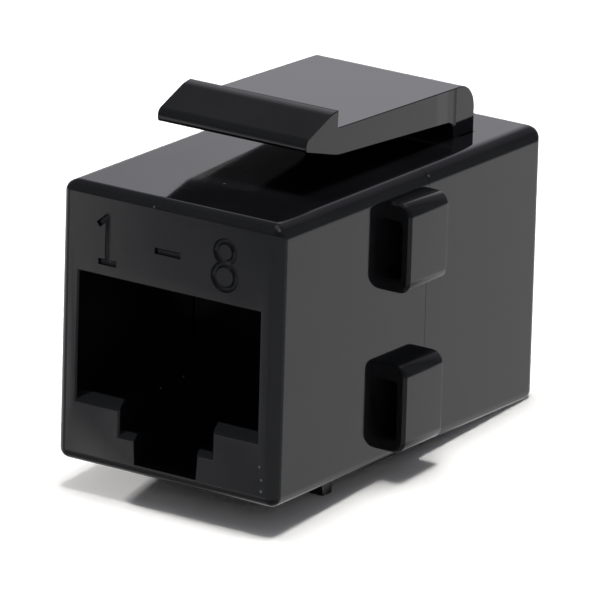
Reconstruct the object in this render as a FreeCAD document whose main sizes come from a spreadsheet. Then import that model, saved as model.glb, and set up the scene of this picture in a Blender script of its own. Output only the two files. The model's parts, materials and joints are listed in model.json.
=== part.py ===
"""Keystone coupler: two moulded shells snapped together, a port at each end and a snap latch on top.

Millimetres. +Z is up and the front port faces -Y. The origin is the centre of the front face.
The rear shell, the rear contact block and the rear contacts are drawn as front pieces and turned half
round, so that a port is described once. In those drawings the front face is at y = 0 as well.
"""

import FreeCAD, Part
import math
import os

import Sketcher
from FreeCAD import Placement, Rotation, Vector

SIZES = {
    # Housing
    "body_width": 14.5,
    "body_height": 15.9,
    "body_depth": 25.4,
    "edge_radius": 0.6,
    "seam_offset": 1.4,
    "seam_gap": 0.08,
    "fit_clearance": 0.1,
    # Port for an eight-way plug, whose locking tab is at the bottom
    "port_wall": 1.25,
    "port_roof": 5.0,
    "shelf_height": 4.05,
    "shelf_lead": 0.5,
    "tab_slot_width": 6.2,
    "tab_slot_drop": 1.7,
    "tab_slot_lead": 0.3,
    "tab_groove_width": 4.1,
    "tab_groove_drop": 1.7,
    "lip_depth": 1.9,
    "tab_room_length": 7.4,
    "tab_room_width": 6.6,
    # Space above the port for the contact block, and the seat of the circuit board
    "block_inset": 0.8,
    "block_height": 3.0,
    "block_front": 2.2,
    "board_seat_floor": 1.4,
    "board_seat_rise": 0.4,
    "back_wall": 1.1,
    # Side pockets, open to the front, that catch the snap arms
    "pocket_length": 3.77,
    "pocket_reach": 1.4,
    "pocket_height": 5.07,
    "upper_pocket_drop": 0.95,
    "lower_pocket_rise": 0.8,
    "pocket_corner_radius": 0.72,
    "pocket_inner_radius": 0.25,
    "pocket_edge_bevel": 0.15,
    "pocket_outer_wall": 0.65,
    "pocket_top_wall": 1.1,
    "pocket_bottom_wall": 0.75,
    "pocket_rear_wall": 1.17,
    # Snap arms of the rear shell
    "snap_arm_width": 2.4,
    "snap_arm_length": 3.6,
    "snap_barb_reach": 0.55,
    "snap_barb_land": 0.5,
    "snap_tip_thickness": 0.6,
    # Fixed lug under the front shell
    "lug_front": 6.2,
    "lug_length": 1.1,
    "lug_width": 12.0,
    "lug_drop": 1.1,
    "lug_ramp": 0.3,
    # Snap latch on top
    "latch_width": 9.8,
    "latch_setback": 3.5,
    "latch_reach": 13.38,
    "latch_nose_length": 3.02,
    "latch_ridge_width": 0.45,
    "latch_ridge_rise": 0.95,
    "latch_tip_height": 2.42,
    "latch_tip_thickness": 0.62,
    "latch_tip_radius": 0.28,
    "latch_ridge_radius": 0.35,
    "latch_gap_front": 1.6,
    "latch_gap_root": 0.92,
    "latch_thickness_front": 1.57,
    "latch_thickness_root": 1.9,
    "latch_post_thickness": 1.46,
    "latch_heel_radius": 1.4,
    "latch_root_radius": 0.5,
    "latch_edge_bevel": 0.15,
    "latch_seat_depth": 0.3,
    # Circuit board and contacts
    "board_thickness": 1.2,
    "board_corner_radius": 0.5,
    "board_hole_diameter": 0.65,
    "contact_pitch": 1.016,
    "contact_width": 0.46,
    "contact_thickness": 0.3,
    "contact_front": 3.2,
    "contact_row_height": 1.1,
    "contact_row_spacing": 1.0,
    "contact_bend_radius": 0.35,
    "contact_spring_rise": 0.35,
    "contact_spring_drop": 2.1,
    "contact_low_inset": 2.2,
    "contact_tip_inset": 0.6,
    "contact_tip_drop": 1.6,
    "comb_reach": 1.0,
}

CONTACT_COUNT = 8
SHEET = "Sizes"
TOLERANCE = 1e-4


class Size:
    """A length that carries both its number and the sheet formula that gives it."""

    def __init__(self, value, formula):
        self.value = float(value)
        self.formula = formula

    @staticmethod
    def of(other):
        return other if isinstance(other, Size) else Size(other, repr(float(other)))

    def __add__(self, other):
        other = Size.of(other)
        return Size(self.value + other.value, f"({self.formula} + {other.formula})")

    def __sub__(self, other):
        other = Size.of(other)
        return Size(self.value - other.value, f"({self.formula} - {other.formula})")

    def __mul__(self, factor):
        return Size(self.value * factor, f"({self.formula} * {float(factor)!r})")

    def __truediv__(self, divisor):
        return Size(self.value / divisor, f"({self.formula} / {float(divisor)!r})")

    def __neg__(self):
        return Size(-self.value, f"(0 - {self.formula})")


NOTHING = Size(0.0, "0")


def make_sheet(document):
    """Write every driving size to its own cell, under its own alias."""
    sheet = document.addObject("Spreadsheet::Sheet", SHEET)
    for row, (alias, value) in enumerate(SIZES.items(), start=1):
        sheet.set(f"A{row}", alias)
        sheet.set(f"B{row}", str(value))
        sheet.setAlias(f"B{row}", alias)
    document.recompute()
    return sheet


def make_sizes(sheet):
    """The driving sizes, read back from the sheet, and the places that follow from them."""
    size = {alias: Size(sheet.get(alias), f"{SHEET}.{alias}") for alias in SIZES}
    floor = -size["body_height"] / 2
    size["underside"] = floor
    size["top"] = size["body_height"] / 2
    size["seam"] = size["body_depth"] / 2 + size["seam_offset"]
    size["port_width"] = size["body_width"] - size["port_wall"] * 2
    size["port_floor"] = floor + size["shelf_height"]
    size["port_ceiling"] = size["top"] - size["port_roof"]
    size["board_front"] = (size["body_depth"] - size["board_thickness"]) / 2
    size["port_depth"] = size["board_front"] - size["back_wall"]
    size["board_low"] = floor + size["board_seat_floor"]
    size["block_top"] = size["port_ceiling"] + size["block_height"]
    size["board_high"] = size["block_top"] + size["board_seat_rise"]
    size["pocket_end"] = size["seam"] - size["seam_gap"]
    size["pocket_front"] = size["pocket_end"] - size["pocket_length"]
    size["catch_face"] = size["pocket_end"] - size["pocket_rear_wall"]
    size["foot_radius"] = size["latch_post_thickness"] / 2
    size["hinge_setback"] = size["latch_setback"] + size["foot_radius"]
    size["hinge_height"] = size["top"] + size["foot_radius"] - size["latch_seat_depth"]
    return size


def new_body(document, name):
    body = document.addObject("PartDesign::Body", name)
    body.Label = name
    return body


def new_sketch(body, name, plane, offset=NOTHING):
    """A sketch on one of the body's own origin planes, moved along +X, +Y or +Z by offset."""
    sketch = body.newObject("Sketcher::SketchObject", f"{body.Name}_{name}")
    origin_plane = next(item for item in body.Origin.OriginFeatures if item.Role == plane)
    sketch.AttachmentSupport = [(origin_plane, "")]
    sketch.MapMode = "FlatFace"
    # The normal of the XZ plane points along -Y
    along_normal = -offset if plane == "XZ_Plane" else offset
    sketch.AttachmentOffset = Placement(Vector(0, 0, along_normal.value), Rotation())
    sketch.setExpression("AttachmentOffset.Base.z", along_normal.formula)
    return sketch


def bind(sketch, constraint, formula):
    index = sketch.addConstraint(constraint)
    sketch.setExpression(f"Constraints[{index}]", formula)


def pin_point(sketch, geometry, point, x, y):
    """Tie a point of the sketch to the sheet, measured from the sketch's origin."""
    bind(sketch, Sketcher.Constraint("DistanceX", -1, 1, geometry, point, x.value), x.formula)
    bind(sketch, Sketcher.Constraint("DistanceY", -1, 1, geometry, point, y.value), y.formula)


def corner_arc(before, corner, after, radius):
    """The two tangent points and the arc that rounds a corner, with whether it turns to the left."""
    to_before = (before - corner).normalize()
    to_after = (after - corner).normalize()
    half_angle = to_before.getAngle(to_after) / 2
    start = corner + to_before * (radius / math.tan(half_angle))
    end = corner + to_after * (radius / math.tan(half_angle))
    centre = corner + (to_before + to_after).normalize() * (radius / math.sin(half_angle))
    turns_left = to_before.cross(to_after).z < 0
    first, last = (start, end) if turns_left else (end, start)
    first_angle = math.atan2(first.y - centre.y, first.x - centre.x)
    last_angle = math.atan2(last.y - centre.y, last.x - centre.x)
    if last_angle < first_angle:
        last_angle += 2 * math.pi
    circle = Part.Circle(centre, Vector(0, 0, 1), radius)
    return start, end, Part.ArcOfCircle(circle, first_angle, last_angle), turns_left


def draw(sketch, corners, closed=True):
    """Draw straight runs through the corners, each (x, y) or (x, y, radius), and tie them to the sheet."""
    count = len(corners)
    points = [Vector(corner[0].value, corner[1].value, 0) for corner in corners]
    arrivals = list(points)
    departures = list(points)
    arcs = {}
    for index, corner in enumerate(corners):
        if len(corner) == 3:
            before = points[index - 1]
            after = points[(index + 1) % count]
            start, end, arc, turns_left = corner_arc(before, points[index], after, corner[2].value)
            arrivals[index] = start
            departures[index] = end
            arcs[index] = (sketch.addGeometry(arc), turns_left)
    runs = []
    for index in range(count if closed else count - 1):
        target = (index + 1) % count
        runs.append(sketch.addGeometry(Part.LineSegment(departures[index], arrivals[target])))
    for index, corner in enumerate(corners):
        leaving = runs[index] if index < len(runs) else None
        arriving = runs[index - 1] if closed or index > 0 else None
        if index in arcs:
            arc, turns_left = arcs[index]
            first, last = (1, 2) if turns_left else (2, 1)
            sketch.addConstraint(Sketcher.Constraint("Tangent", arriving, 2, arc, first))
            sketch.addConstraint(Sketcher.Constraint("Tangent", arc, last, leaving, 1))
            bind(sketch, Sketcher.Constraint("Radius", arc, corner[2].value), corner[2].formula)
            mark = sketch.addGeometry(Part.Point(points[index]), True)
            sketch.addConstraint(Sketcher.Constraint("PointOnObject", mark, 1, arriving))
            sketch.addConstraint(Sketcher.Constraint("PointOnObject", mark, 1, leaving))
            pin_point(sketch, mark, 1, corner[0], corner[1])
        elif leaving is None:
            pin_point(sketch, arriving, 2, corner[0], corner[1])
        else:
            if arriving is not None:
                sketch.addConstraint(Sketcher.Constraint("Coincident", arriving, 2, leaving, 1))
            pin_point(sketch, leaving, 1, corner[0], corner[1])


def draw_box(sketch, left, right, low, high):
    draw(sketch, [(left, low), (right, low), (right, high), (left, high)])


def draw_circle(sketch, x, y, radius):
    circle = sketch.addGeometry(Part.Circle(Vector(x.value, y.value, 0), Vector(0, 0, 1), radius.value))
    pin_point(sketch, circle, 3, x, y)
    bind(sketch, Sketcher.Constraint("Radius", circle, radius.value), radius.formula)


def pad(body, sketch, length, both_ways=False):
    """Add material along +Y from an XZ sketch, or evenly to both sides of the sketch."""
    feature = body.newObject("PartDesign::Pad", f"{sketch.Name}_pad")
    feature.Profile = sketch
    feature.Length = length.value
    feature.setExpression("Length", length.formula)
    if both_ways:
        feature.SideType = "Symmetric"
    else:
        feature.Reversed = True
    sketch.Visibility = False
    body.Document.recompute()
    return feature


def pocket(body, sketch, length=None, both_ways=False):
    """Remove material along +Y from an XZ sketch, to its far side where no length is given."""
    volume_before = body.Shape.Volume
    feature = body.newObject("PartDesign::Pocket", f"{sketch.Name}_pocket")
    feature.Profile = sketch
    if length is None:
        feature.Type = "ThroughAll"
    else:
        feature.Length = length.value
        feature.setExpression("Length", length.formula)
    if both_ways:
        feature.SideType = "Symmetric"
    body.Document.recompute()
    if body.Shape.Volume >= volume_before:
        raise RuntimeError(f"{feature.Name} removes nothing")
    return feature


def edges_at(shape, x=None, y=None, z=None):
    """Names of the edges that lie wholly at one of the given places along each axis."""
    names = []
    for number, edge in enumerate(shape.Edges, start=1):
        box = edge.BoundBox
        spans = ((x, box.XMin, box.XMax), (y, box.YMin, box.YMax), (z, box.ZMin, box.ZMax))
        if all(places is None or on_place(places, low, high) for places, low, high in spans):
            names.append(f"Edge{number}")
    return names


def on_place(places, low, high):
    return any(abs(low - place) < TOLERANCE and abs(high - place) < TOLERANCE for place in places)


def dress(body, kind, name, edges, amount):
    """Round or bevel the named edges of what the body is so far. The kind is Fillet or Chamfer."""
    if not edges:
        raise RuntimeError(f"{body.Name} has no edge for {name}")
    base = body.Tip
    feature = body.newObject(f"PartDesign::{kind}", f"{body.Name}_{name}")
    feature.Base = (base, edges)
    amount_name = "Radius" if kind == "Fillet" else "Size"
    setattr(feature, amount_name, amount.value)
    feature.setExpression(amount_name, amount.formula)
    body.Document.recompute()
    if "Invalid" in feature.State:
        raise RuntimeError(f"{feature.Name} failed")
    return feature


def turn_to_rear(body, size, x=NOTHING):
    """Turn a piece that is drawn as a front one half round, so that it serves the rear port."""
    body.Placement = Placement(Vector(x.value, size["body_depth"].value, 0), Rotation(Vector(0, 0, 1), 180))
    body.setExpression("Placement.Base.y", size["body_depth"].formula)
    body.setExpression("Placement.Base.x", x.formula)


def cut_port(body, size):
    """Cut the plug's port: a rectangle with the two steps of the locking tab below it."""
    half_port = size["port_width"] / 2
    half_slot = size["tab_slot_width"] / 2
    half_groove = size["tab_groove_width"] / 2
    half_room = size["tab_room_width"] / 2
    slot_floor = size["port_floor"] - size["tab_slot_drop"]
    groove_floor = slot_floor - size["tab_groove_drop"]

    mouth = new_sketch(body, "port", "XZ_Plane")
    draw_box(mouth, -half_port, half_port, size["port_floor"], size["port_ceiling"])
    pocket(body, mouth, size["port_depth"])

    tab_way = new_sketch(body, "tab_way", "XZ_Plane")
    draw(tab_way, [
        (-half_slot, size["port_floor"]),
        (-half_slot, slot_floor),
        (-half_groove, slot_floor),
        (-half_groove, groove_floor),
        (half_groove, groove_floor),
        (half_groove, slot_floor),
        (half_slot, slot_floor),
        (half_slot, size["port_floor"]),
    ])
    pocket(body, tab_way, size["lip_depth"])

    # Behind the lip the floor drops, and the shoulders of the tab lock there
    tab_room = new_sketch(body, "tab_room", "XZ_Plane", size["lip_depth"])
    draw_box(tab_room, -half_room, half_room, groove_floor, size["port_floor"])
    pocket(body, tab_room, size["tab_room_length"])

    front = [0.0]
    shelf_edges = edges_at(body.Shape, y=front, z=[size["port_floor"].value])
    dress(body, "Chamfer", "shelf_lead", shelf_edges, size["shelf_lead"])
    slot_edges = edges_at(body.Shape, y=front, z=[slot_floor.value])
    dress(body, "Chamfer", "slot_lead", slot_edges, size["tab_slot_lead"])


def cut_inside(body, size):
    """Cut the room for the contact block above the port, and the seat of the board behind it."""
    half_port = size["port_width"] / 2
    half_block = half_port - size["block_inset"]

    block_room = new_sketch(body, "block_room", "XZ_Plane", size["block_front"])
    draw_box(block_room, -half_block, half_block, size["port_floor"], size["block_top"])
    pocket(body, block_room)

    board_seat = new_sketch(body, "board_seat", "XZ_Plane", size["port_depth"])
    draw_box(board_seat, -half_port, half_port, size["board_low"], size["board_high"])
    pocket(body, board_seat)


def start_shell(document, name, depth, size):
    """A rounded box with a port in its front face, open at the back."""
    body = new_body(document, name)
    half_width = size["body_width"] / 2
    section = new_sketch(body, "section", "XZ_Plane")
    draw_box(section, -half_width, half_width, size["underside"], size["top"])
    pad(body, section, depth)

    sides = [-half_width.value, half_width.value]
    levels = [size["underside"].value, size["top"].value]
    outer_edges = edges_at(body.Shape, x=sides, z=levels)
    outer_edges += edges_at(body.Shape, y=[0.0])
    dress(body, "Fillet", "outer_edges", outer_edges, size["edge_radius"])

    cut_port(body, size)
    cut_inside(body, size)
    return body


def pocket_levels(size):
    """Underside and top of the lower and the upper side pockets."""
    lower_base = size["underside"] + size["lower_pocket_rise"]
    upper_top = size["top"] - size["upper_pocket_drop"]
    height = size["pocket_height"]
    return [(lower_base, lower_base + height), (upper_top - height, upper_top)]


def hollow_levels(size):
    """Floor and ceiling of the hollow in each side pocket."""
    floor_wall = size["pocket_bottom_wall"]
    roof_wall = size["pocket_top_wall"]
    return [(low + floor_wall, high - roof_wall) for low, high in pocket_levels(size)]


def hood_edges(body, size, end):
    """The edges round one end of the hoods, where they stand out from the side walls."""
    wall = size["body_width"].value / 2 + TOLERANCE
    place = size[end].value
    names = []
    for number, edge in enumerate(body.Shape.Edges, start=1):
        box = edge.BoundBox
        if on_place([place], box.YMin, box.YMax) and max(box.XMax, -box.XMin) > wall:
            names.append(f"Edge{number}")
    return names


def add_side_pockets(body, size):
    """Two hoods on each side, hollow from the front, with a window to the snap arm inside."""
    half_width = size["body_width"] / 2
    half_port = size["port_width"] / 2
    outer_face = half_width + size["pocket_reach"]
    hollow_side = outer_face - size["pocket_outer_wall"]
    corner = size["pocket_corner_radius"]
    inner_corner = size["pocket_inner_radius"]

    hoods = new_sketch(body, "hoods", "XZ_Plane", size["pocket_front"])
    for low, high in pocket_levels(size):
        draw(hoods, [
            (half_port, low),
            (outer_face, low, corner),
            (outer_face, high, corner),
            (half_port, high),
        ])
        draw(hoods, [
            (-half_port, high),
            (-outer_face, high, corner),
            (-outer_face, low, corner),
            (-half_port, low),
        ])
    pad(body, hoods, size["pocket_end"] - size["pocket_front"])
    dress(body, "Chamfer", "hood_rears", hood_edges(body, size, "pocket_end"), size["pocket_edge_bevel"])

    hollows = new_sketch(body, "hollows", "XZ_Plane", size["pocket_front"])
    for bottom, top in hollow_levels(size):
        draw(hollows, [
            (half_width, bottom),
            (hollow_side, bottom, inner_corner),
            (hollow_side, top, inner_corner),
            (half_width, top),
        ])
        draw(hollows, [
            (-half_width, top),
            (-hollow_side, top, inner_corner),
            (-hollow_side, bottom, inner_corner),
            (-half_width, bottom),
        ])
    pocket(body, hollows, size["catch_face"] - size["pocket_front"])
    dress(body, "Chamfer", "hood_rims", hood_edges(body, size, "pocket_front"), size["pocket_edge_bevel"])

    window_start = size["seam"] - size["snap_arm_length"] - size["fit_clearance"]
    windows = new_sketch(body, "windows", "XZ_Plane", window_start)
    for bottom, top in hollow_levels(size):
        middle = (bottom + top) / 2
        reach = size["snap_arm_width"] / 2 + size["fit_clearance"]
        draw_box(windows, half_port, half_width, middle - reach, middle + reach)
        draw_box(windows, -half_width, -half_port, middle - reach, middle + reach)
    pocket(body, windows)


def add_lug(body, size):
    """The fixed lug under the shell that hooks the lower edge of a panel opening."""
    rear = size["lug_front"] + size["lug_length"]
    lug = new_sketch(body, "lug", "YZ_Plane")
    drop = size["underside"] - size["lug_drop"]
    root = size["underside"] + size["edge_radius"]
    draw(lug, [
        (size["lug_front"], root),
        (size["lug_front"], size["underside"]),
        (size["lug_front"] + size["lug_ramp"], drop),
        (rear, drop),
        (rear, root),
    ])
    pad(body, lug, size["lug_width"], both_ways=True)


def make_front_shell(document, size):
    body = start_shell(document, "front_shell", size["seam"] - size["seam_gap"], size)
    add_side_pockets(body, size)
    add_lug(body, size)
    return body


def add_snap_arms(body, size):
    """Four arms that reach into the front shell. Their barbs catch behind the side pockets' rear walls."""
    root = size["body_depth"] - size["seam"]
    tip = root + size["snap_arm_length"]
    catch = size["body_depth"] - size["catch_face"] + size["fit_clearance"] / 2
    inner = size["port_width"] / 2 + size["fit_clearance"]
    outer = size["body_width"] / 2 - size["fit_clearance"] / 2
    barb = outer + size["snap_barb_reach"]
    tip_outer = inner + size["snap_tip_thickness"]
    anchor = root - size["back_wall"]
    for label, (bottom, top) in zip(("lower", "upper"), hollow_levels(size)):
        arms = new_sketch(body, f"{label}_arms", "XY_Plane", (bottom + top) / 2)
        profile = [
            (inner, anchor),
            (outer, anchor),
            (outer, catch),
            (barb, catch),
            (barb, catch + size["snap_barb_land"]),
            (tip_outer, tip),
            (inner, tip),
        ]
        draw(arms, profile)
        draw(arms, [(-x, y) for x, y in reversed(profile)])
        pad(body, arms, size["snap_arm_width"], both_ways=True)


def cut_latch_seat(body, size):
    """The shallow round seat in the top in which the latch's foot turns."""
    seat = new_sketch(body, "latch_seat", "YZ_Plane")
    seat_radius = size["foot_radius"] + size["fit_clearance"]
    draw_circle(seat, size["hinge_setback"], size["hinge_height"], seat_radius)
    pocket(body, seat, size["latch_width"] + size["fit_clearance"] * 2, both_ways=True)


def make_rear_shell(document, size):
    body = start_shell(document, "rear_shell", size["body_depth"] - size["seam"], size)
    add_snap_arms(body, size)
    cut_latch_seat(body, size)
    turn_to_rear(body, size)
    return body


def make_latch(document, size):
    """The springy latch: a post, a long arm over the housing, and a nose with a ridge."""
    body = new_body(document, "snap_latch")
    top = size["top"]
    post_back = size["body_depth"] - size["latch_setback"]
    post_front = post_back - size["latch_post_thickness"]
    ridge_back = post_back - size["latch_reach"]
    ridge_front = ridge_back - size["latch_ridge_width"]
    nose_tip = ridge_back - size["latch_nose_length"]
    under_front = top + size["latch_gap_front"]
    under_root = top + size["latch_gap_root"]
    arm_front = under_front + size["latch_thickness_front"]
    arm_root = under_root + size["latch_thickness_root"]
    ridge_top = arm_front + size["latch_ridge_rise"]
    tip_height = top + size["latch_tip_height"]

    side = new_sketch(body, "side", "YZ_Plane")
    draw(side, [
        (post_front, size["hinge_height"]),
        (post_front, under_root, size["latch_root_radius"]),
        (ridge_back, under_front),
        (nose_tip, tip_height, size["latch_tip_radius"]),
        (nose_tip, tip_height + size["latch_tip_thickness"], size["latch_tip_radius"]),
        (ridge_front, ridge_top, size["latch_ridge_radius"]),
        (ridge_back, ridge_top),
        (ridge_back, arm_front),
        (post_back, arm_root, size["latch_heel_radius"]),
        (post_back, size["hinge_height"]),
    ])
    pad(body, side, size["latch_width"], both_ways=True)

    foot = new_sketch(body, "foot", "YZ_Plane")
    draw_circle(foot, post_back - size["foot_radius"], size["hinge_height"], size["foot_radius"])
    pad(body, foot, size["latch_width"], both_ways=True)

    half_width = size["latch_width"].value / 2
    arm_edges = edges_at(body.Shape, x=[-half_width, half_width])
    dress(body, "Chamfer", "side_edges", arm_edges, size["latch_edge_bevel"])
    return body


def contact_places(size):
    """Contact number, its place across the port and the height of its row."""
    places = []
    for number in range(1, CONTACT_COUNT + 1):
        across = size["contact_pitch"] * (number - (CONTACT_COUNT + 1) / 2)
        row = size["port_ceiling"] + size["contact_row_height"]
        if number % 2:
            row = row + size["contact_row_spacing"]
        places.append((number, across, row))
    return places


def make_contact_block(document, name, size):
    """The insulator that closes a port's back and holds its contacts in slots above the plug."""
    body = new_body(document, name)
    gap = size["fit_clearance"]
    half_wall = size["port_width"] / 2 - gap
    half_bar = half_wall - size["block_inset"]
    half_slot = size["contact_width"] / 2 + gap / 2
    bar_front = size["block_front"] + gap

    wall = new_sketch(body, "back_wall", "XZ_Plane", size["port_depth"])
    draw_box(wall, -half_wall, half_wall, size["board_low"] + gap, size["board_high"] - gap)
    pad(body, wall, size["back_wall"])

    bar = new_sketch(body, "bar", "XZ_Plane", bar_front)
    draw_box(bar, -half_bar, half_bar, size["port_ceiling"], size["block_top"] - gap)
    pad(body, bar, size["port_depth"] - bar_front)

    slots = new_sketch(body, "slots", "XZ_Plane", size["contact_front"] - size["contact_thickness"] / 2 - gap)
    for number, across, row in contact_places(size):
        slot_top = row + size["contact_thickness"] / 2 + gap / 2
        draw_box(slots, across - half_slot, across + half_slot, size["port_ceiling"], slot_top)
    pocket(body, slots)

    comb = new_sketch(body, "comb", "XZ_Plane", size["port_depth"] - size["comb_reach"])
    comb_low = size["port_ceiling"] - size["contact_spring_drop"]
    for number, across, row in contact_places(size)[:-1]:
        left = across + half_slot
        right = across + size["contact_pitch"] - half_slot
        draw_box(comb, left, right, comb_low, size["port_ceiling"])
    pad(body, comb, size["comb_reach"])
    return body


def make_contact(document, name, row, size):
    """A flat gold wire: tail in the board, run above the port, bend at the mouth, springing leg and tip."""
    body = new_body(document, name)
    tail_end = size["board_front"] + size["board_thickness"] - size["fit_clearance"]
    ceiling = size["port_ceiling"]
    bend = size["contact_bend_radius"]
    path = new_sketch(body, "path", "YZ_Plane")
    draw(path, [
        (tail_end, row),
        (size["contact_front"], row, bend),
        (size["contact_front"], ceiling + size["contact_spring_rise"], bend),
        (size["port_depth"] - size["contact_low_inset"], ceiling - size["contact_spring_drop"], bend),
        (size["port_depth"] - size["contact_tip_inset"], ceiling - size["contact_tip_drop"]),
    ], closed=False)

    half_width = size["contact_width"] / 2
    half_thickness = size["contact_thickness"] / 2
    section = new_sketch(body, "section", "XZ_Plane", tail_end)
    draw_box(section, -half_width, half_width, row - half_thickness, row + half_thickness)

    wire = body.newObject("PartDesign::AdditivePipe", f"{name}_wire")
    wire.Profile = section
    wire.Spine = (path, [])
    document.recompute()
    return body


def make_contacts(document, size):
    for number, across, row in contact_places(size):
        front = make_contact(document, f"front_contact_{number}", row, size)
        front.Placement = Placement(Vector(across.value, 0, 0), Rotation())
        front.setExpression("Placement.Base.x", across.formula)
        # Half a turn swaps the sides and the rows, so no two tails meet in the board
        rear = make_contact(document, f"rear_contact_{number}", row, size)
        turn_to_rear(rear, size, -across)


def make_board(document, size):
    """The upright board between the two contact blocks, with a hole for each contact's tail."""
    body = new_body(document, "circuit_board")
    gap = size["fit_clearance"]
    half_width = size["port_width"] / 2 - gap
    low = size["board_low"] + gap
    high = size["board_high"] - gap
    corner = size["board_corner_radius"]
    plate = new_sketch(body, "plate", "XZ_Plane", size["board_front"])
    draw(plate, [
        (-half_width, low, corner),
        (half_width, low, corner),
        (half_width, high, corner),
        (-half_width, high, corner),
    ])
    pad(body, plate, size["board_thickness"])

    holes = new_sketch(body, "holes", "XZ_Plane", size["board_front"])
    low_row = size["port_ceiling"] + size["contact_row_height"]
    for number, across, row in contact_places(size):
        for height in (low_row, low_row + size["contact_row_spacing"]):
            draw_circle(holes, across, height, size["board_hole_diameter"] / 2)
    pocket(body, holes)
    return body


def check_document(document):
    """Stop if any object failed, or any sub-part is empty or not valid."""
    for item in document.Objects:
        if "Invalid" in item.State or "Error" in item.State:
            raise RuntimeError(f"{item.Name} failed: {item.State}")
    for body in sub_parts(document):
        if body.Shape.isNull() or not body.Shape.isValid():
            raise RuntimeError(f"{body.Name} has no valid shape")
        if len(body.Shape.Solids) != 1:
            raise RuntimeError(f"{body.Name} has {len(body.Shape.Solids)} solids")


def sub_parts(document):
    return [item for item in document.Objects if item.TypeId == "PartDesign::Body"]


def main():
    document = FreeCAD.newDocument("keystone_coupler")
    size = make_sizes(make_sheet(document))
    make_front_shell(document, size)
    make_rear_shell(document, size)
    make_latch(document, size)
    make_board(document, size)
    make_contact_block(document, "front_contact_block", size)
    turn_to_rear(make_contact_block(document, "rear_contact_block", size), size)
    make_contacts(document, size)
    document.recompute()
    check_document(document)
    os.makedirs("parts", exist_ok=True)
    for body in sub_parts(document):
        body.Shape.exportStep(f"parts/{body.Label}.step")
        print(f"{body.Label}: {body.Shape.Volume:.2f} mm3, {len(body.Shape.Faces)} faces")


main()
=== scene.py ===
"""Looks of the keystone coupler: black moulded housing, snap latch, gold contacts, on a pale floor.

Metres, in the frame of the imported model. +Z is up and the front port faces -Y. Sizes and places are
written in millimetres and multiplied by MM where they are used.
"""

import json
import math

import bmesh
import bpy
from mathutils import Matrix, Vector

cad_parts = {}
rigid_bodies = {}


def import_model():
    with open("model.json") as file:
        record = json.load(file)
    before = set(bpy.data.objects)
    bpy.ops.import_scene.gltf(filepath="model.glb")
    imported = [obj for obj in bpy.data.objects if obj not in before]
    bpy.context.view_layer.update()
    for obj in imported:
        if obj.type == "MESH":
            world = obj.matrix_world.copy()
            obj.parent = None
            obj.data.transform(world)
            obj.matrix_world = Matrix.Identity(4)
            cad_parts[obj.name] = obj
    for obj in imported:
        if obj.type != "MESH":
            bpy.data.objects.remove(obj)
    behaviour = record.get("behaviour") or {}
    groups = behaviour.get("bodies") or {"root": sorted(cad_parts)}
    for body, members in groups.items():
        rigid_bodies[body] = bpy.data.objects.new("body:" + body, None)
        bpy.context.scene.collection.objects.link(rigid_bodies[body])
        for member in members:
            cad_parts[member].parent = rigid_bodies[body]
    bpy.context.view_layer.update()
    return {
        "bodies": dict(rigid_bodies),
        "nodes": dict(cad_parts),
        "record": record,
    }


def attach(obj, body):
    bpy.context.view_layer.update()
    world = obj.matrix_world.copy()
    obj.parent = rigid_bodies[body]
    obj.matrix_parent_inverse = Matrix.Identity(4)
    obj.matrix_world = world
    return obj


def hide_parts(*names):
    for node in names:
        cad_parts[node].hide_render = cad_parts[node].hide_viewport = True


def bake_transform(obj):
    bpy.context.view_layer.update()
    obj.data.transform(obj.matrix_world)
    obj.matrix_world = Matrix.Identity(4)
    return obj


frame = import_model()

MM = 0.001

# Places nearer to each other than this, in metres, count as one.
SAME_PLACE = 1e-6

# The housing in millimetres, as its solids have it
HALF_WIDTH = 7.25
HALF_HEIGHT = 7.95
DEPTH = 25.4
EDGE_RADIUS = 0.6
FRONT_HALF_END = 14.02

# What the mouldings add to the solids, in millimetres
SEAM_RIM = 14.07
SEAM_INSIDE = 14.095
SEAM_RIM_WIDTH = 0.12
PORT_MOUTH_RADIUS = 0.09
HOOD_RADIUS = 0.06
LATCH_RADIUS = 0.16
FIGURE_STROKE_RADIUS = 0.18
FIGURE_STROKE_LIFT = 0.03

# Below these angles between faces, in degrees, a moulding is shaded smooth.
SHELL_SMOOTH = 32
LATCH_SMOOTH = 35

# The latch's outline in the Y-Z plane, each corner as ((y, z), radius) in millimetres
LATCH_HALF_WIDTH = 4.9
LATCH_CORNERS = [
    ((19.85, 7.75), 0),
    ((19.85, 8.91), 0.55),
    ((8.52, 9.55), 0.25),
    ((5.5, 10.37), 0.14),
    ((5.5, 10.99), 0.3),
    ((8.07, 12.07), 0.5),
    ((8.52, 12.07), 0.06),
    ((8.52, 11.12), 0.12),
    ((21.9, 10.77), 1.4),
    ((21.9, 7.75), 0),
]

# The hollow in the latch's sides: where it starts, where its crease is and its depth, in millimetres
LATCH_SINK = (18.2, 20.1, 0.014)

# Pale nicks and flecks on the housing, and three painted highlights (glints of the lamps), each as (place,
# radius) in millimetres
SPECKS_AND_PAINTED_GLINTS = [
    ((6.19, 0.0, -5.69), 0.09),
    ((6.33, 0.0, -6.41), 0.10),
    ((6.33, 0.0, -7.04), 0.11),
    # Painted highlight: a glint of the lamps on the front's upper right corner
    ((7.0, 0.15, 7.75), 0.2),
    ((7.2, 14.2, 7.6), 0.16),
    ((0.2, 4.7, 7.95), 0.07),
    ((0.2, 6.7, 7.95), 0.06),
    # Painted highlights: glints inside the two side pockets on the right
    ((8.45, 10.3, 6.9), 0.12),
    ((8.45, 10.3, -1.9), 0.12),
    ((-3.9, 0.1, -5.4), 0.1),
]


def drop_start_objects():
    """Remove anything in the scene that the frame did not bring."""
    kept = set(frame["nodes"].values()) | set(frame["bodies"].values())
    for thing in list(bpy.data.objects):
        if thing not in kept:
            bpy.data.objects.remove(thing)


# Shader nodes


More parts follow.
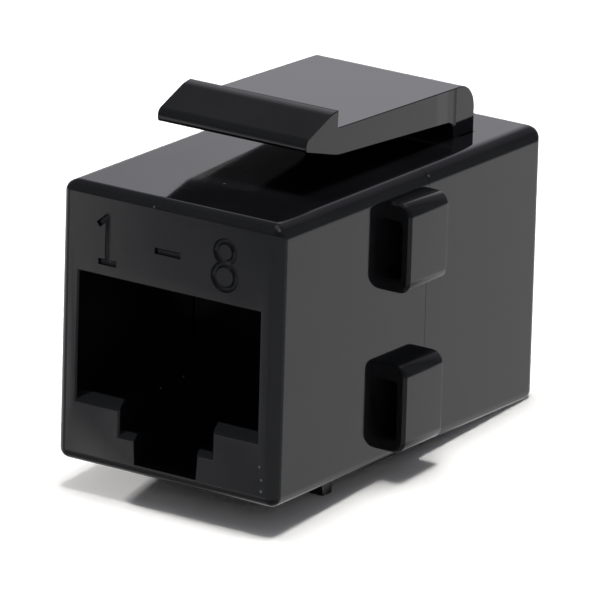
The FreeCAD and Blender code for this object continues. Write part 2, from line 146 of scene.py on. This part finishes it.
def feed(tree, socket, value):
    """Link a socket to another one, or set it to a plain value."""
    if isinstance(value, bpy.types.NodeSocket):
        tree.links.new(value, socket)
    else:
        socket.default_value = value


def object_place(tree):
    """The object's own coordinates, in metres."""
    return tree.nodes.new("ShaderNodeTexCoord").outputs["Object"]


def axes(tree, vector):
    """The outputs X, Y and Z of a vector."""
    split = tree.nodes.new("ShaderNodeSeparateXYZ")
    tree.links.new(vector, split.inputs["Vector"])
    return split.outputs


def object_noise(tree, scale, detail):
    """Noise on the object's own coordinates. The scale is in features per metre."""
    noise = tree.nodes.new("ShaderNodeTexNoise")
    noise.inputs["Scale"].default_value = scale
    noise.inputs["Detail"].default_value = detail
    tree.links.new(object_place(tree), noise.inputs["Vector"])
    return noise.outputs["Fac"]


def ramp(tree, source, stops):
    """Turn a value into a colour by (place, colour) stops."""
    made = tree.nodes.new("ShaderNodeValToRGB")
    elements = made.color_ramp.elements
    while len(elements) < len(stops):
        elements.new(0.5)
    for element, (place, colour) in zip(elements, stops):
        element.position = place
        element.color = (*colour, 1.0)
    tree.links.new(source, made.inputs["Fac"])
    return made.outputs["Color"]


def spread(tree, source, low, high, least, most):
    """Map a value from low..high to least..most."""
    made = tree.nodes.new("ShaderNodeMapRange")
    made.inputs["From Min"].default_value = low
    made.inputs["From Max"].default_value = high
    made.inputs["To Min"].default_value = least
    made.inputs["To Max"].default_value = most
    tree.links.new(source, made.inputs["Value"])
    return made.outputs["Result"]


def calculate(tree, operation, *values):
    """The result of a Math node over sockets and plain numbers."""
    made = tree.nodes.new("ShaderNodeMath")
    made.operation = operation
    for socket, value in zip(made.inputs, values):
        feed(tree, socket, value)
    return made.outputs["Value"]


def calculate_vector(tree, operation, *values):
    """The result of a Vector Math node over sockets and plain vectors."""
    made = tree.nodes.new("ShaderNodeVectorMath")
    made.operation = operation
    for socket, value in zip(made.inputs, values):
        feed(tree, socket, value)
    is_number = operation in ("DISTANCE", "DOT_PRODUCT", "LENGTH")
    return made.outputs["Value" if is_number else "Vector"]


def mix_colours(tree, factor, first, second):
    """The first colour where the factor is 0, and the second where it is 1."""
    made = tree.nodes.new("ShaderNodeMix")
    made.data_type = "RGBA"
    feed(tree, made.inputs["Factor"], factor)
    feed(tree, made.inputs["A"], first)
    feed(tree, made.inputs["B"], second)
    return made.outputs["Result"]


def mix_shaders(tree, factor, first, second):
    """The first shader where the factor is 0, and the second where it is 1."""
    made = tree.nodes.new("ShaderNodeMixShader")
    for socket, value in zip(made.inputs, (factor, first, second)):
        tree.links.new(value, socket)
    return made.outputs["Shader"]


def bump(tree, height, strength, distance, skin=None):
    """A bumped normal, the distance in millimetres, over the normal of a skin that is bumped already."""
    made = tree.nodes.new("ShaderNodeBump")
    made.inputs["Strength"].default_value = strength
    made.inputs["Distance"].default_value = distance * MM
    tree.links.new(height, made.inputs["Height"])
    if skin is not None:
        tree.links.new(skin, made.inputs["Normal"])
    return made.outputs["Normal"]


# Materials


def new_material(name):
    """A material with its node tree and its main shader."""
    material = bpy.data.materials.new(name)
    material.use_nodes = True
    return material, material.node_tree, material.node_tree.nodes["Principled BSDF"]


def dust_flecks_and_painted_glints(tree, place):
    """How pale the plastic is at a place: a few specks of dust, the nicks and flecks, and the painted
    highlights (glints) among the listed spots.
    """
    dust = tree.nodes.new("ShaderNodeTexVoronoi")
    dust.inputs["Scale"].default_value = 900
    tree.links.new(place, dust.inputs["Vector"])
    chance = tree.nodes.new("ShaderNodeSeparateColor")
    tree.links.new(dust.outputs["Color"], chance.inputs["Color"])
    near = spread(tree, dust.outputs["Distance"], 0.05, 0.09, 1.0, 0.0)
    rare = spread(tree, chance.outputs["Red"], 0.975, 0.98, 0.0, 0.4)
    total = calculate(tree, "MULTIPLY", near, rare)
    # Listed spots: flecks, and painted glints of the lamps
    for spot, radius in SPECKS_AND_PAINTED_GLINTS:
        apart = calculate_vector(tree, "DISTANCE", place, [value * MM for value in spot])
        fleck_or_glint = spread(tree, apart, radius * 0.5 * MM, radius * MM, 0.5, 0.0)
        total = calculate(tree, "MAXIMUM", total, fleck_or_glint)
    return total


def sunk_sides(tree, place, skin, start, end, depth):
    """The skin with a shallow hollow across the sides that face along X.

    The hollow eases in from start and is ended by a crease at end, in millimetres along Y.
    """
    facing = axes(tree, tree.nodes.new("ShaderNodeNewGeometry").outputs["Normal"])
    side = calculate(tree, "GREATER_THAN", calculate(tree, "ABSOLUTE", facing["X"]), 0.9)
    along = spread(tree, axes(tree, place)["Y"], start * MM, end * MM, 0.0, 1.0)
    level = ramp(tree, along, [
        (0.0, (1, 1, 1)),
        (0.55, (0, 0, 0)),
        (0.86, (0, 0, 0)),
        (1.0, (1, 1, 1)),
    ])
    return bump(tree, calculate(tree, "MULTIPLY", level, side), 1.0, depth, skin)


def black_plastic(name, sink=None):
    """Moulded black plastic with a mirror-like skin: fine grain, pale specks and nicks, a few painted
    glints, and faint waves.
    """
    material, tree, shader = new_material(name)
    flow = object_noise(tree, 260, 3)
    grain = object_noise(tree, 9000, 2)
    place = object_place(tree)
    tone = ramp(tree, flow, [(0.3, (0.0040, 0.0041, 0.0048)), (0.7, (0.0062, 0.0063, 0.0072))])
    # Pale where there are specks, nicks and painted glints of the lamps
    colour = mix_colours(tree, dust_flecks_and_painted_glints(tree, place), tone, (0.3, 0.3, 0.3, 1.0))
    tree.links.new(colour, shader.inputs["Base Color"])
    tree.links.new(spread(tree, flow, 0.3, 0.7, 0.04, 0.08), shader.inputs["Roughness"])
    shader.inputs["IOR"].default_value = 1.58
    waves = bump(tree, flow, 0.1, 0.02)
    skin = bump(tree, grain, 0.06, 0.003, waves)
    if sink:
        skin = sunk_sides(tree, place, skin, *sink)
    tree.links.new(skin, shader.inputs["Normal"])
    return material


def grained_finish(name, scale, dark, light, smooth, rough):
    """A material whose colour and roughness follow one fine grain."""
    material, tree, shader = new_material(name)
    grain = object_noise(tree, scale, 3)
    tree.links.new(ramp(tree, grain, [(0.3, dark), (0.7, light)]), shader.inputs["Base Color"])
    tree.links.new(spread(tree, grain, 0.3, 0.7, smooth, rough), shader.inputs["Roughness"])
    return material, shader


def dull_plastic():
    """The contact blocks' unpolished black insulator."""
    material, shader = grained_finish(
        "dull_plastic", 4000, (0.006, 0.006, 0.007), (0.011, 0.011, 0.012), 0.1, 0.16,
    )
    return material


def gold_plate():
    """Gold over bronze wire, with faint marks in it."""
    material, shader = grained_finish(
        "gold_plate", 7000, (0.72, 0.49, 0.17), (0.86, 0.62, 0.25), 0.18, 0.34,
    )
    shader.inputs["Metallic"].default_value = 1.0
    return material


def green_board():
    """Glass-fibre board under green lacquer, with its weave just showing."""
    material, tree, shader = new_material("green_board")
    weave = tree.nodes.new("ShaderNodeTexChecker")
    weave.inputs["Scale"].default_value = 4200
    weave.inputs["Color1"].default_value = (0.016, 0.085, 0.034, 1.0)
    weave.inputs["Color2"].default_value = (0.021, 0.105, 0.043, 1.0)
    tree.links.new(object_place(tree), weave.inputs["Vector"])
    tree.links.new(weave.outputs["Color"], shader.inputs["Base Color"])
    blotches = object_noise(tree, 900, 2)
    tree.links.new(spread(tree, blotches, 0.3, 0.7, 0.22, 0.36), shader.inputs["Roughness"])
    return material


# Meshes


def mark_sharp(bm, smooth_below):
    """Shade smooth across edges blunter than the given angle in degrees, and keep the others sharp."""
    limit = math.radians(smooth_below)
    for face in bm.faces:
        face.smooth = True
    for edge in bm.edges:
        edge.smooth = edge.calc_face_angle(math.pi) < limit


def new_piece(name, bm, material, smooth_below):
    """Make a bmesh an object of the scene, with its doubles merged and its faces pointing outwards."""
    bmesh.ops.remove_doubles(bm, verts=bm.verts, dist=SAME_PLACE / 10)
    bmesh.ops.recalc_face_normals(bm, faces=bm.faces)
    mark_sharp(bm, smooth_below)
    mesh = bpy.data.meshes.new(name)
    bm.to_mesh(mesh)
    bm.free()
    mesh.materials.append(material)
    piece = bpy.data.objects.new(name, mesh)
    bpy.context.scene.collection.objects.link(piece)
    return piece


def finished_mesh(thing):
    """The mesh of a curve or a piece as its modifiers leave it."""
    bpy.context.view_layer.update()
    depsgraph = bpy.context.evaluated_depsgraph_get()
    return bpy.data.meshes.new_from_object(thing.evaluated_get(depsgraph))


def steady_shading(piece):
    """Let large flat faces rule the shading of the round edges beside them."""
    weigh = piece.modifiers.new("weigh", "WEIGHTED_NORMAL")
    weigh.mode = "FACE_AREA"
    weigh.weight = 80
    weigh.keep_sharp = True


def merged_copy(node):
    """A closed bmesh of a CAD node, with its flat faces joined up."""
    bm = bmesh.new()
    bm.from_mesh(frame["nodes"][node].data)
    bmesh.ops.remove_doubles(bm, verts=bm.verts, dist=SAME_PLACE)
    bmesh.ops.dissolve_limit(bm, angle_limit=math.radians(0.4), verts=bm.verts, edges=bm.edges)
    return bm


def round_edges(bm, edges, radius, segments):
    """Round edges by a radius in millimetres."""
    bmesh.ops.bevel(
        bm, geom=edges, offset=radius * MM, offset_type="OFFSET", affect="EDGES", segments=segments,
        profile=0.5, material=-1, clamp_overlap=True,
    )


def edges_along_x(bm, y, z):
    """The edges that run across the width at a given place, in millimetres."""
    found = []
    for edge in bm.edges:
        ends = [vert.co for vert in edge.verts]
        here = all(
            abs(end.y - y * MM) < SAME_PLACE and abs(end.z - z * MM) < SAME_PLACE for end in ends
        )
        if here and abs(ends[0].x - ends[1].x) > SAME_PLACE:
            found.append(edge)
    return found


# Latch


def latch_side_edges(bm):
    """The edges that bound the latch's two sides."""
    limit = (LATCH_HALF_WIDTH - 0.001) * MM
    found = []
    for edge in bm.edges:
        at_side = all(abs(vert.co.x) > limit for vert in edge.verts)
        if at_side and abs(edge.verts[0].co.x - edge.verts[1].co.x) < SAME_PLACE:
            found.append(edge)
    return found


def make_latch(plastic):
    """Post, arm and nose in one moulding, with rounded edges and its root sunk into the housing's top."""
    bm = bmesh.new()
    verts = [bm.verts.new((-LATCH_HALF_WIDTH * MM, y * MM, z * MM)) for (y, z), radius in LATCH_CORNERS]
    side = bm.faces.new(verts)
    grown = bmesh.ops.extrude_face_region(bm, geom=[side])
    moved = [item for item in grown["geom"] if isinstance(item, bmesh.types.BMVert)]
    bmesh.ops.translate(bm, verts=moved, vec=(2 * LATCH_HALF_WIDTH * MM, 0, 0))
    bmesh.ops.recalc_face_normals(bm, faces=bm.faces)
    for (y, z), radius in LATCH_CORNERS:
        if radius:
            round_edges(bm, edges_along_x(bm, y, z), radius, 8 if radius > 0.2 else 3)
    round_edges(bm, latch_side_edges(bm), LATCH_RADIUS, 3)
    latch = new_piece("latch_moulding", bm, plastic, LATCH_SMOOTH)
    steady_shading(latch)
    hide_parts("snap_latch")
    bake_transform(latch)
    return latch


# Figures


def arc(centre, width, height, start, end):
    """Points along part of an ellipse in the X-Z plane, in millimetres and degrees."""
    steps = 24
    points = []
    for step in range(steps + 1):
        turn = math.radians(start + (end - start) * step / steps)
        x = centre[0] + width / 2 * math.cos(turn)
        z = centre[1] + height / 2 * math.sin(turn)
        points.append((x, z))
    return points


def numeral_strokes():
    """Strokes of a plain 1, a dash and an 8 for the contacts, as (closed, points) in millimetres."""
    return [
        (False, [(-4.75, 5.8), (-4.02, 6.43)]),
        (False, [(-4.1, 6.5), (-4.1, 3.7)]),
        (False, [(-4.7, 3.75), (-3.5, 3.75)]),
        (False, [(-1.0, 5.05), (0.7, 5.05)]),
        (True, arc((3.6, 5.85), 1.2, 1.2, 0, 345)),
        (True, arc((3.6, 4.46), 1.45, 1.4, 0, 345)),
    ]


def stroke_cutter(strokes):
    """Round bars along the strokes, in one object, with their middle just outside the front face."""
    bm = bmesh.new()
    for closed, points in strokes:
        curve = bpy.data.curves.new("stroke", "CURVE")
        curve.dimensions = "3D"
        curve.bevel_depth = FIGURE_STROKE_RADIUS * MM
        curve.bevel_resolution = 4
        curve.use_fill_caps = True
        spline = curve.splines.new("POLY")
        spline.points.add(len(points) - 1)
        for point, (x, z) in zip(spline.points, points):
            point.co = (x * MM, -FIGURE_STROKE_LIFT * MM, z * MM, 1.0)
        spline.use_cyclic_u = closed
        holder = bpy.data.objects.new("stroke", curve)
        bpy.context.scene.collection.objects.link(holder)
        bar = finished_mesh(holder)
        bm.from_mesh(bar)
        bpy.data.objects.remove(holder)
        bpy.data.meshes.remove(bar)
    bmesh.ops.remove_doubles(bm, verts=bm.verts, dist=SAME_PLACE / 10)
    bmesh.ops.recalc_face_normals(bm, faces=bm.faces)
    mesh = bpy.data.meshes.new("strokes")
    bm.to_mesh(mesh)
    bm.free()
    cutter = bpy.data.objects.new("strokes", mesh)
    bpy.context.scene.collection.objects.link(cutter)
    return cutter


def engrave(piece, strokes):
    """Sink the strokes into the piece for good."""
    cutter = stroke_cutter(strokes)
    cut = piece.modifiers.new("cut", "BOOLEAN")
    cut.operation = "DIFFERENCE"
    cut.solver = "EXACT"
    cut.use_self = True
    cut.object = cutter
    mesh = finished_mesh(piece)
    piece.modifiers.remove(cut)
    piece.data = mesh
    bpy.data.objects.remove(cutter)
    bm = bmesh.new()
    bm.from_mesh(mesh)
    bmesh.ops.remove_doubles(bm, verts=bm.verts, dist=2 * SAME_PLACE)
    mark_sharp(bm, SHELL_SMOOTH)
    bm.to_mesh(mesh)
    bm.free()


# Shells


def sharp_edges(bm, keep):
    """Edges between faces that meet at more than 30 degrees, where they pass the keep test."""
    limit = math.radians(30)
    return [edge for edge in bm.edges if edge.is_manifold and edge.calc_face_angle() > limit and keep(edge)]


def is_port_mouth(edge):
    """Whether an edge bounds the port in the front or rear face, above the floor of the tab's groove."""
    half_width = 6.3 * MM
    half_height = 7.35 * MM
    groove_floor = -7.2 * MM
    ends = [vert.co for vert in edge.verts]
    at_front = all(abs(end.y) < SAME_PLACE for end in ends)
    at_back = all(abs(end.y - DEPTH * MM) < SAME_PLACE for end in ends)
    inside = all(abs(end.x) < half_width and abs(end.z) < half_height for end in ends)
    on_groove_floor = all(end.z < groove_floor for end in ends)
    return (at_front or at_back) and inside and not on_groove_floor


def is_on_hood(edge):
    """Whether an edge stands proud of the housing's sides, as the hollow catches do."""
    return all(abs(vert.co.x) > (HALF_WIDTH + 0.01) * MM for vert in edge.verts)


def close_seam(bm):
    """Bring the front half's rear face up to the rear half.

    That leaves a fine groove round the rim, and the gap inside is all but closed.
    """
    start = FRONT_HALF_END * MM
    ends = [face for face in bm.faces if all(abs(vert.co.y - start) < SAME_PLACE for vert in face.verts)]
    for vert in {vert for face in ends for vert in face.verts}:
        vert.co.y = SEAM_RIM * MM
    bmesh.ops.inset_region(
        bm, faces=ends, thickness=SEAM_RIM_WIDTH * MM, use_boundary=True, use_even_offset=True,
    )
    for vert in {vert for face in ends for vert in face.verts}:
        vert.co.y = SEAM_INSIDE * MM


def widen_upper_edges(bm):
    """Round the housing's upper side edges half as much again as its other edges."""
    side = HALF_WIDTH * MM
    top = HALF_HEIGHT * MM
    radius = EDGE_RADIUS * MM
    reach = radius + SAME_PLACE
    for vert in bm.verts:
        from_side = side - abs(vert.co.x)
        from_top = top - vert.co.z
        from_end = min(vert.co.y, DEPTH * MM - vert.co.y)
        if -SAME_PLACE < from_side < reach and -SAME_PLACE < from_top < reach:
            growth = 1 + 0.5 * min(1, max(0, from_end / radius))
            vert.co.x = math.copysign(side - from_side * growth, vert.co.x)
            vert.co.z = top - from_top * growth


def make_shell(name, node, plastic, strokes):
    """One half of the housing. The front half has figures and reaches up to the seam."""
    bm = merged_copy(node)
    widen_upper_edges(bm)
    if strokes:
        close_seam(bm)
    round_edges(bm, sharp_edges(bm, is_port_mouth), PORT_MOUTH_RADIUS, 2)
    round_edges(bm, sharp_edges(bm, is_on_hood), HOOD_RADIUS, 2)
    shell = new_piece(name, bm, plastic, SHELL_SMOOTH)
    if strokes:
        engrave(shell, strokes)
    steady_shading(shell)
    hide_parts(node)
    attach(shell, "housing")
    return shell


# Setting

# Level directions, towards the camera and to its right
TOWARDS_CAMERA = (0.561, -0.828, 0.0)
RIGHTWARD = (0.828, 0.561, 0.0)

# The tent's colours from behind the coupler (0) round to the camera (1), below and above its rim
TENT_BELOW = [
    (0.0, (0.93, 0.93, 0.94)),
    (0.305, (0.98, 0.98, 1.0)),
    (0.325, (0.71, 0.71, 0.72)),
    (0.345, (0.64, 0.64, 0.65)),
    (0.40, (0.45, 0.45, 0.46)),
    (0.47, (0.36, 0.36, 0.37)),
    (0.655, (0.38, 0.38, 0.39)),
    (0.6645, (1.2, 1.18, 1.2)),
    (0.6660, (1.2, 1.18, 1.2)),
    (0.6669, (0.58, 0.57, 0.60)),
    (0.6687, (0.38, 0.38, 0.40)),
    (0.6707, (0.33, 0.33, 0.35)),
    (0.6758, (0.31, 0.32, 0.34)),
    (0.683, (0.06, 0.07, 0.08)),
    (0.72, (0.29, 0.30, 0.31)),
    (1.0, (0.29, 0.30, 0.31)),
]
TENT_ABOVE = [
    (0.0, (0.78, 0.77, 0.82)),
    (0.065, (0.77, 0.76, 0.81)),
    (0.14, (0.22, 0.21, 0.24)),
    (0.23, (0.18, 0.18, 0.20)),
    (0.28, (0.11, 0.11, 0.13)),
    (0.35, (0.14, 0.15, 0.16)),
    (0.5, (0.12, 0.13, 0.14)),
    (0.66, (0.17, 0.17, 0.19)),
    (1.0, (0.08, 0.08, 0.09)),
]

# How the tent above its rim is shaded from the camera's left (0) to its right (1)
TENT_SHADE = [
    (0.3, (1, 1, 1)),
    (0.42, (0.8, 0.8, 0.8)),
    (0.49, (0.8, 0.8, 0.8)),
    (0.5, (1, 1, 1)),
]
TENT_ROOF = (0.62, 0.62, 0.64, 1.0)


def look_through_camera():
    """The photograph's view. The camera's place, turn and lens were fitted to the body's edges."""
    azimuth = math.radians(34.113)
    elevation = math.radians(17.253)
    roll = math.radians(1.654)
    target = Vector((0.723, 11.5, -0.154)) * MM
    distance = 501.47 * MM
    back = Vector((
        math.sin(azimuth) * math.cos(elevation),
        -math.cos(azimuth) * math.cos(elevation),
        math.sin(elevation),
    ))
    right = Vector((math.cos(azimuth), math.sin(azimuth), 0))
    up = back.cross(right)
    turned_right = right * math.cos(roll) + up * math.sin(roll)
    turned_up = up * math.cos(roll) - right * math.sin(roll)
    lens = bpy.data.cameras.new("camera")
    lens.lens = 549.6
    lens.sensor_width = 36
    lens.clip_start = 0.01
    lens.clip_end = 20
    camera = bpy.data.objects.new("camera", lens)
    turn = Matrix((turned_right, turned_up, back)).transposed().to_4x4()
    camera.matrix_world = Matrix.Translation(target + back * distance) @ turn
    bpy.context.scene.collection.objects.link(camera)
    bpy.context.scene.camera = camera


def table_paint():
    """Pale grey to the light and near white to the camera, which sees plain white further off.

    The table is clear from below, and to reflections beyond the coupler's own footprint.
    """
    material, tree, shader = new_material("pale_table")
    tree.nodes.remove(shader)
    rays = tree.nodes.new("ShaderNodeLightPath").outputs
    place = object_place(tree)

    diffuse = tree.nodes.new("ShaderNodeBsdfDiffuse")
    colour = mix_colours(tree, rays["Is Camera Ray"], (0.6, 0.6, 0.61, 1.0), (1.2, 1.185, 1.15, 1.0))
    tree.links.new(colour, diffuse.inputs["Color"])
    white = tree.nodes.new("ShaderNodeEmission")
    away = calculate_vector(tree, "LENGTH", place)
    fading = spread(tree, away, 60 * MM, 110 * MM, 0.0, 1.0)
    distant = calculate(tree, "MULTIPLY", rays["Is Camera Ray"], fading)
    surface = mix_shaders(tree, distant, diffuse.outputs["BSDF"], white.outputs["Emission"])

    # An oval round the coupler's middle, longer along its depth
    squeeze = 0.62
    middle = (0.0, -squeeze * DEPTH * MM / 2, 0.0)
    oval = calculate_vector(tree, "MULTIPLY_ADD", place, (1.0, squeeze, 0.0), middle)
    outside = spread(tree, calculate_vector(tree, "LENGTH", oval), 7 * MM, 8 * MM, 0.0, 1.0)
    seen_through = calculate(tree, "MULTIPLY", rays["Is Glossy Ray"], outside)
    underside = tree.nodes.new("ShaderNodeNewGeometry").outputs["Backfacing"]
    unseen = calculate(tree, "MAXIMUM", seen_through, underside)
    clear = tree.nodes.new("ShaderNodeBsdfTransparent")
    shown = mix_shaders(tree, unseen, surface, clear.outputs["BSDF"])
    tree.links.new(shown, tree.nodes["Material Output"].inputs["Surface"])
    return material


def make_table():
    """The pale table. The coupler leans back on the corner of its lug and its rear lower edge."""
    lug_corner = Vector((0, 7.3, -9.05)) * MM
    rounding = 0.18
    rear_edge = Vector((0, DEPTH - rounding, -HALF_HEIGHT + rounding)) * MM
    slope = math.atan2(rear_edge.z - lug_corner.z, rear_edge.y - lug_corner.y)
    clearance = Vector((0, 0, 0.02)) * MM
    bm = bmesh.new()
    bmesh.ops.create_grid(bm, x_segments=1, y_segments=1, size=1.5)
    bmesh.ops.rotate(bm, verts=bm.verts, cent=(0, 0, 0), matrix=Matrix.Rotation(slope, 3, "X"))
    bmesh.ops.translate(bm, verts=bm.verts, vec=lug_corner - clearance)
    table = new_piece("table", bm, table_paint(), 30)


def tent_colour(tree, direction):
    """The tent's colour in a direction: its lower part, and over its rim a dark part with a pale roof."""
    ahead = calculate_vector(tree, "DOT_PRODUCT", direction, TOWARDS_CAMERA)
    sideways = calculate_vector(tree, "DOT_PRODUCT", direction, RIGHTWARD)
    height = axes(tree, direction)["Z"]
    turn = spread(tree, ahead, -1.0, 1.0, 0.0, 1.0)
    across = spread(tree, sideways, -1.0, 1.0, 0.0, 1.0)
    dimming = spread(tree, height, -0.75, -0.4, 0.4, 1.0)
    below = calculate_vector(tree, "MULTIPLY", ramp(tree, turn, TENT_BELOW), dimming)
    above = calculate_vector(tree, "MULTIPLY", ramp(tree, turn, TENT_ABOVE), ramp(tree, across, TENT_SHADE))
    over = mix_colours(tree, spread(tree, height, 0.88, 0.97, 0.0, 1.0), above, TENT_ROOF)
    return mix_colours(tree, spread(tree, height, -0.25, -0.12, 0.0, 1.0), below, over)


def light_world():
    """A tent of card round the coupler, palest behind it. The camera itself sees plain white."""
    world = bpy.data.worlds.new("studio")
    bpy.context.scene.world = world
    world.use_nodes = True
    tree = world.node_tree
    tree.nodes.clear()
    direction = tree.nodes.new("ShaderNodeTexCoord").outputs["Generated"]
    card = tree.nodes.new("ShaderNodeBackground")
    tree.links.new(tent_colour(tree, direction), card.inputs["Color"])
    white = tree.nodes.new("ShaderNodeBackground")
    white.inputs["Color"].default_value = (1.0, 1.0, 1.0, 1.0)
    rays = tree.nodes.new("ShaderNodeLightPath").outputs
    shown = mix_shaders(
        tree, rays["Is Camera Ray"], card.outputs["Background"], white.outputs["Background"],
    )
    output = tree.nodes.new("ShaderNodeOutputWorld")
    tree.links.new(shown, output.inputs["Surface"])


def add_softbox(name, place, aim, width, power):
    """A square light at a place in millimetres that faces another and isn't mirrored in the gloss."""
    lamp = bpy.data.lights.new(name, "AREA")
    lamp.shape = "SQUARE"
    lamp.size = width * MM
    lamp.energy = power
    box = bpy.data.objects.new(name, lamp)
    start = Vector(place) * MM
    ahead = (Vector(aim) * MM - start).to_track_quat("-Z", "Y")
    box.matrix_world = Matrix.Translation(start) @ ahead.to_matrix().to_4x4()
    box.visible_glossy = False
    bpy.context.scene.collection.objects.link(box)


def main():
    drop_start_objects()
    look_through_camera()
    make_table()
    light_world()
    add_softbox("key", (12, 24, 420), (0, 12, 0), 110, 1.5)
    add_softbox("left_card", (-400, 10, 150), (-7, 0, -9), 30, 1.5)
    add_softbox("right_card", (240, -220, 120), (0, 6, 0), 120, 0.06)

    plastic = black_plastic("black_plastic")
    make_shell("front_moulding", "front_shell", plastic, numeral_strokes())
    make_shell("rear_moulding", "rear_shell", plastic, [])
    make_latch(black_plastic("latch_plastic", LATCH_SINK))
    finishes = {"insulator_plastic": dull_plastic(), "board": green_board(), "contact_metal": gold_plate()}
    for row in frame["record"]["subparts"]:
        finish = finishes.get(row["material_slot"], plastic)
        for place in frame["nodes"][row["node"]].material_slots:
            place.material = finish

    bpy.context.scene.view_settings.view_transform = "Standard"


main()
